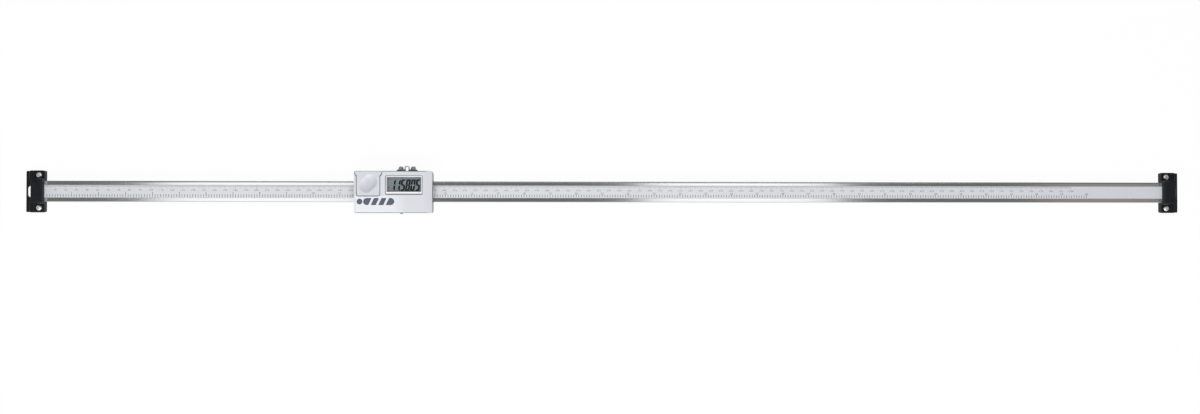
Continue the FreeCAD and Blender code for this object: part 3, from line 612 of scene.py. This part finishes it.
# Display panel: liquid crystal between two sheets of glass, grey-green where no figure stands. It
# lies in the holder under the lens.

material, inputs, place = new_finish("display_panel", Roughness=0.35, Specular_IOR_Level=0.1)
film = place.grain(1200.0, 2.0)
shade = place.grain(60.0, 1.0)
tone = film * 0.4 + shade * 0.6
feed(inputs, "Base Color", tone.blend((0.19, 0.214, 0.233), (0.265, 0.293, 0.312)))
dress(material, "display_panel")


# Display figures: the crystal's dark strokes, seven to a figure, with a decimal point and two small
# marks. They lie on the panel as a thin film and lean to the right.

DIGIT_WIDE, DIGIT_HIGH, STROKE, CUT = 4.3 * MM, 11.05 * MM, 1.7 * MM, 0.12 * MM
DIGIT_PITCH, FIRST_IN, SLANT = 4.72 * MM, 6.7 * MM, 0.137
FIGURE_HEIGHT = 0.03 * MM
POINT_WIDE, POINT_HIGH, POINT_AFTER = 0.36 * MM, 1.2 * MM, 1.5
MARK_LENGTH, MARK_WIDTH = 1.3 * MM, 0.7 * MM
DASH_IN, DASH_Y = 2.9 * MM, -2.6 * MM
POST_IN, POST_Y = 1.9 * MM, 5.4 * MM
READING = "115805"
LIT = {"0": "abcdef", "1": "bc", "5": "acdfg", "8": "abcdefg"}

# The three outlines of a seven-stroke figure; the other strokes are these mirrored.
half_wide, half_high = DIGIT_WIDE / 2, DIGIT_HIGH / 2
inner_x, inner_y = half_wide - STROKE, half_high - STROKE
CAP = [(half_wide - CUT, half_high), (CUT - half_wide, half_high),
       (CUT - inner_x, inner_y), (inner_x - CUT, inner_y)]
UPRIGHT = [(half_wide, CUT / 2), (half_wide, half_high - CUT),
           (inner_x, inner_y - CUT), (inner_x, STROKE / 2 + CUT)]
BAR = [(half_wide - 2 * CUT, 0), (inner_x - CUT, STROKE / 2), (CUT - inner_x, STROKE / 2),
       (2 * CUT - half_wide, 0), (CUT - inner_x, -STROKE / 2), (inner_x - CUT, -STROKE / 2)]
STROKES = {"a": (CAP, 1, 1), "b": (UPRIGHT, 1, 1), "c": (UPRIGHT, 1, -1), "d": (CAP, 1, -1),
           "e": (UPRIGHT, -1, -1), "f": (UPRIGHT, -1, 1), "g": (BAR, 1, 1)}


def stroke(bm, outline, x, y):
    # A flat form drawn from its outline and given a little height.
    face = bm.faces.new([bm.verts.new((x + a, y + b, 0)) for a, b in outline])
    raise_faces(bm, [face], FIGURE_HEIGHT)


def block(wide, high):
    return [(wide / 2, -high / 2), (wide / 2, high / 2), (-wide / 2, high / 2), (-wide / 2, -high / 2)]


bm = bmesh.new()
panel_low, panel_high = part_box("display_panel")
first_x = panel_low.x + FIRST_IN
for count, figure in enumerate(READING):
    for key in LIT[figure]:
        outline, flip_x, flip_y = STROKES[key]
        stroke(bm, [(a * flip_x, b * flip_y) for a, b in outline], first_x + count * DIGIT_PITCH, 0.0)
point_x = first_x + POINT_AFTER * DIGIT_PITCH
stroke(bm, block(POINT_WIDE, POINT_HIGH), point_x, (POINT_HIGH - DIGIT_HIGH) / 2)
stroke(bm, block(MARK_LENGTH, MARK_WIDTH), panel_low.x + DASH_IN, DASH_Y)
stroke(bm, block(MARK_WIDTH, MARK_LENGTH), panel_low.x + POST_IN, POST_Y)
middle_y = (panel_low.y + panel_high.y) / 2
lean = Matrix(((1, SLANT, 0, 0), (0, 1, 0, middle_y), (0, 0, 1, panel_high.z), (0, 0, 0, 1)))
bmesh.ops.transform(bm, matrix=lean, verts=bm.verts)
bmesh.ops.recalc_face_normals(bm, faces=bm.faces)
crystal = mottled("display_figures", (0.002, 0.003, 0.004), (0.005, 0.006, 0.007), 900.0, 1.0,
                  Roughness=0.4, Specular_IOR_Level=0.02)
add_piece("display_figures", bm, crystal, "reading_head")


# Display connectors and holder: two rubber strips in conducting layers lead from the board up to
# the panel, inside a white moulding that stands on the board and seats the panel.

layered = mottled("layered_rubber", (0.03, 0.03, 0.032), (0.20, 0.20, 0.21), 40.0, 2.0, (60.0, 0.2, 0.2),
                  Roughness=0.6)
dress(layered, "display_connectors")

white = mottled("white_moulding", (0.70, 0.70, 0.67), (0.78, 0.78, 0.75), 1500.0, 2.0, Roughness=0.5)
dress(white, "display_holder")


# Circuit board: a laminate with copper tracks that show through its green solder mask. It lies in
# the slider frame's pocket, behind the display and the keys.

material, inputs, place = new_finish("solder_mask")
track = place.node("TexBrick", {"offset": 0.5}, 1, Vector=place, Scale=420.0, Mortar_Size=0.12)
feed(inputs, "Base Color", track.blend((0.008, 0.075, 0.032), (0.02, 0.16, 0.07)))
feed(inputs, "Roughness", place.grain(800.0, 2.0) * 0.2 + 0.25)
dress(material, "circuit_board")


# Controller chip: bonded bare to the board, under a low cast cap of black resin that has set
# glossy and a little uneven.

material, inputs, place = new_finish("chip_resin", Base_Color=(0.012, 0.012, 0.013, 1.0))
feed(inputs, "Roughness", place.grain(500.0, 3.0) * 0.3 + 0.18)
dress(material, "controller_chip")


# Key mat: grey silicone, moulded in one piece with a collar round each key's stem. It lies on the
# board and springs the keys back.

silicone = mottled("silicone_mat", (0.24, 0.25, 0.27), (0.31, 0.32, 0.34), 1000.0, 3.0, Roughness=0.6)
dress(silicone, "key_mat")


# Battery: a coin cell in a plated steel can, turned in fine rings, with a stamped plus. It lies in
# the housing's cup under the door.

CELL_RINGS = 1000.0
material, inputs, place = new_finish("cell_can", Metallic=1.0)
centred = place.node("Mapping", i0=place, Location=(-cell_middle.x, -cell_middle.y, 0.0))
ring = centred.node("TexWave", {"wave_type": "RINGS", "rings_direction": "Z"}, 1, Vector=centred,
                    Scale=CELL_RINGS, Distortion=1.5, Detail=2.0)
smear = place.grain(160.0, 3.0)
feed(inputs, "Base Color", (ring * 0.4 + smear * 0.6).blend((0.56, 0.56, 0.55), (0.70, 0.70, 0.69)))
feed(inputs, "Roughness", ring * 0.08 + smear * 0.14 + 0.18)
dress(material, "battery")

PLUS_ARM, PLUS_WIDTH, PLUS_HEIGHT, PLUS_OUT = 2.0 * MM, 0.8 * MM, 0.08 * MM, 5.0 * MM
bm = bmesh.new()
plus = bm.faces.new([bm.verts.new(p) for p in cross_outline(PLUS_ARM, PLUS_WIDTH)])
raise_faces(bm, [plus], PLUS_HEIGHT)
bmesh.ops.translate(bm, verts=bm.verts, vec=(cell_middle.x, cell_middle.y + PLUS_OUT, cell_high.z))
bmesh.ops.recalc_face_normals(bm, faces=bm.faces)
material, inputs, place = new_finish("stamped_plus", Base_Color=(0.30, 0.30, 0.30, 1.0), Metallic=1.0)
feed(inputs, "Roughness", place.grain(900.0, 3.0) * 0.2 + 0.35)
add_piece("battery_plus", bm, material, "reading_head")


# Battery contacts: two bent strips of sprung bronze sheet on the board. One rises to the cell's
# under face, and the other stands against its rim.

material, inputs, place = new_finish("contact_sheet", Base_Color=(0.66, 0.52, 0.27, 1.0), Metallic=1.0)
feed(inputs, "Roughness", place.grain(900.0, 3.0) * 0.25 + 0.2)
dress(material, "negative_contact", "positive_contact")


# Keys: slate-blue silicone caps with a satin skin, coloured right through. Each moves in its own
# hole of the housing.

slate = mottled("slate_rubber", (0.072, 0.090, 0.145), (0.100, 0.122, 0.185), 2200.0, 3.0, dull=0.34,
                relief=(0.15, 0.03 * MM))
dress(slate, "round_key", "left_end_key", "inner_left_key", "inner_right_key", "right_end_key")


# Saddle strap: a steel strip bent round the rod or cable that it clamps to the head's top edge.
# The bend is left bright and the feet are painted dark as the shade under the head's wall.

SHADE_RISE, LIT_RISE = 0.6 * MM, 1.3 * MM
strap_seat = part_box("saddle_strap")[0].y
material, inputs, place = new_finish("strap_strip", Metallic=1.0)
rolled = place.grain(60.0, 5.0, ALONG_X)
# Painted shade: the feet go dark next to the head.
unshaded = place.axis("Y").step(strap_seat + SHADE_RISE, strap_seat + LIT_RISE)
tone = unshaded * (rolled * 0.4 + 0.7)
feed(inputs, "Base Color", tone.blend((0.035, 0.035, 0.038), (0.54, 0.54, 0.55)))
feed(inputs, "Roughness", rolled * 0.2 + 0.25)
dress(material, "saddle_strap")


# Strap washers: two stamped steel rings, dull with zinc, between the strap's feet and the screw
# heads. Their outer edges are eased.

WASHER_BORE, WASHER_EASE = 1.32 * MM, 0.1 * MM
low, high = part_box("strap_washers")
outer = (high.z - low.z) / 2
thick = high.y - low.y
washer = lathe([(WASHER_BORE, 0), (outer, 0), (outer, thick), (WASHER_BORE, thick)], closed=True)
bmesh.ops.recalc_face_normals(washer, faces=washer.faces)
middle_radius = (WASHER_BORE + outer) / 2
rims = [e for e in washer.edges
        if e.calc_face_angle() > SHARP_TURN and e.verts[0].co.xy.length > middle_radius]
bmesh.ops.bevel(washer, geom=rims, offset=WASHER_EASE, offset_type="OFFSET", affect="EDGES", segments=2,
                profile=0.5, material=-1)
stand_up = Matrix.Rotation(-math.pi / 2, 4, "X")
middle_z = (low.z + high.z) / 2
spots = [Matrix.Translation((x, low.y, middle_z)) @ stand_up for x in (low.x + outer, high.x - outer)]
rings = place_copies(washer, spots)
zinc = mottled("zinc_washer", (0.50, 0.50, 0.51), (0.62, 0.62, 0.63), 1500.0, 3.0, dull=0.3,
               Metallic=0.25)
piece = add_piece("strap_washer_rings", rings, zinc, "reading_head")
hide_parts("strap_washers")


# Strap screws: pan heads with a cross recess, in darker plated steel. They pass through the washers
# and the strap's feet into the frame.

STRAP_HEAD_HEIGHT, STRAP_SHANK = 2.75 * MM, 1.25 * MM
LEFT_STRAP_TURN, RIGHT_STRAP_TURN = 0.3, 0.9
low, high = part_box("strap_screws")
strap_head = (high.z - low.z) / 2
seat = high.y - STRAP_HEAD_HEIGHT
screw = pan_head_screw(strap_head, STRAP_HEAD_HEIGHT, STRAP_SHANK, seat - low.y)
spots = []
for x, spin in ((low.x + strap_head, LEFT_STRAP_TURN), (high.x - strap_head, RIGHT_STRAP_TURN)):
    spots.append(Matrix.Translation((x, seat, middle_z)) @ stand_up @ Matrix.Rotation(spin, 4, "Z"))
heads = place_copies(screw, spots)
dark_plate = mottled("strap_screw_plate", (0.34, 0.33, 0.32), (0.47, 0.46, 0.45), 1200.0, 4.0, dull=0.22,
                     Metallic=1.0)
piece = add_piece("strap_screw_heads", heads, dark_plate, "reading_head")
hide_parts("strap_screws")


# Floor: a plain white sheet under the object. The camera and reflections see it nearly pure white,
# and it keeps a faint shadow.

WHITE, SHADE_GREY, WHITE_SHARE = (1.0, 1.0, 1.0), (0.4, 0.4, 0.4), 0.96
FLOOR_REACH, FLOOR_X, FLOOR_Z = 6.0, 0.55, -0.05 * MM
sheet, tree = bare_material("white_floor")
rays = tree.nodes.new("ShaderNodeLightPath").outputs
seen = Field(tree, rays["Is Camera Ray"])
mirrored = Field(tree, rays["Is Glossy Ray"])
through = Field(tree, rays["Is Transmission Ray"])
shown = seen.maths("MINIMUM", seen + mirrored + through, 1.0)
paper = shown.node("BsdfDiffuse", Color=shown.blend(SHADE_GREY, WHITE))
glow = shown.node("Emission", Color=(*WHITE, 1.0), Strength=1.0)
mixed = shown.node("MixShader", i0=shown * WHITE_SHARE, i1=paper, i2=glow)
feed(tree.nodes["Material Output"].inputs, "Surface", mixed)
bm = bmesh.new()
bmesh.ops.create_grid(bm, x_segments=1, y_segments=1, size=FLOOR_REACH,
                      matrix=Matrix.Translation((FLOOR_X, 0.0, FLOOR_Z)))
mesh = bpy.data.meshes.new("floor")
bm.to_mesh(mesh)
bm.free()
mesh.materials.append(sheet)
floor = bpy.data.objects.new("floor", mesh)
bpy.context.scene.collection.objects.link(floor)


# Light: a studio that is pale towards the front left, grey towards the back right and dim overhead.
# Three strip softboxes hang at the camera's height, with two long panels and a key lamp beside them.

PALE_SIDE, GREY_SIDE, OVERHEAD = (0.62, 0.63, 0.65), (0.22, 0.225, 0.235), (0.21, 0.205, 0.20)
FRONT_LEFT = (-0.5, -0.87, 0.0)
DIM_FROM, DIM_TO = 0.55, 0.85
world = bpy.data.worlds.new("studio")
bpy.context.scene.world = world
world.use_nodes = True
tree = world.node_tree
around = Field(tree, tree.nodes.new("ShaderNodeTexCoord").outputs["Generated"])
towards = around.node("VectorMath", {"operation": "DOT_PRODUCT"}, 1, i0=around, i1=FRONT_LEFT)
wall = (towards * 0.5 + 0.5).blend(GREY_SIDE, PALE_SIDE)
sky = around.axis("Z").step(DIM_FROM, DIM_TO).blend(wall, OVERHEAD)
feed(tree.nodes["Background"].inputs, "Color", sky)


def softbox(name, place, target, width, length, radiance, colour=WHITE):
    lamp = bpy.data.lights.new(name, "AREA")
    lamp.shape = "RECTANGLE"
    lamp.size = width
    lamp.size_y = length
    lamp.color = colour
    lamp.energy = radiance * math.pi * width * length
    holder = bpy.data.objects.new(name, lamp)
    bpy.context.scene.collection.objects.link(holder)
    aim = Vector(target) - Vector(place)
    holder.matrix_world = Matrix.Translation(place) @ aim.to_track_quat("-Z", "Y").to_matrix().to_4x4()


STRIP_Y, STRIP_Z, STRIP_LENGTH = 0.05, 1.074, 0.8
WARM = (1.0, 0.9, 0.8)
for name, x, width, radiance, colour in (("strip_left", -0.06, 0.43, 1.36, WHITE),
                                         ("strip_right", 0.864, 0.39, 1.38, WHITE),
                                         ("warm_right", 1.59, 0.26, 0.21, WARM)):
    softbox(name, (x, STRIP_Y, STRIP_Z), (x, STRIP_Y, 0.0), width, STRIP_LENGTH, radiance, colour)
softbox("panel_front", (0.70, -0.75, 1.05), (0.70, 0.0, 0.0), 1.7, 0.5, 3.0)
softbox("panel_back", (0.58, 0.80, 1.05), (0.58, 0.0, 0.0), 1.7, 0.4, 1.1)
softbox("key_lower_left", (0.18, -0.85, 0.80), (0.35, 0.0, 0.0), 0.7, 0.6, 3.2)


# Camera: above the beam, a little to the left of its middle and two and a half degrees off the
# vertical. Its focal length is given in pixels of an image 1200 pixels wide.

CAMERA_PLACE = (0.4974, -0.0289, 1.0736)
YAW, PITCH, ROLL = math.radians(-2.49), math.radians(0.766), math.radians(0.01)
FOCAL_PIXELS, IMAGE_WIDTH, SENSOR = 1088.35, 1200.0, 36.0
camera = bpy.data.cameras.new("camera")
camera.sensor_fit = "HORIZONTAL"
camera.sensor_width = SENSOR
camera.lens = SENSOR * FOCAL_PIXELS / IMAGE_WIDTH
holder = bpy.data.objects.new("camera", camera)
bpy.context.scene.collection.objects.link(holder)
holder.matrix_world = (Matrix.Translation(CAMERA_PLACE) @ Matrix.Rotation(YAW, 4, "Y")
                       @ Matrix.Rotation(PITCH, 4, "X") @ Matrix.Rotation(ROLL, 4, "Z"))
bpy.context.scene.camera = holder
bpy.context.scene.view_settings.view_transform = "Standard"
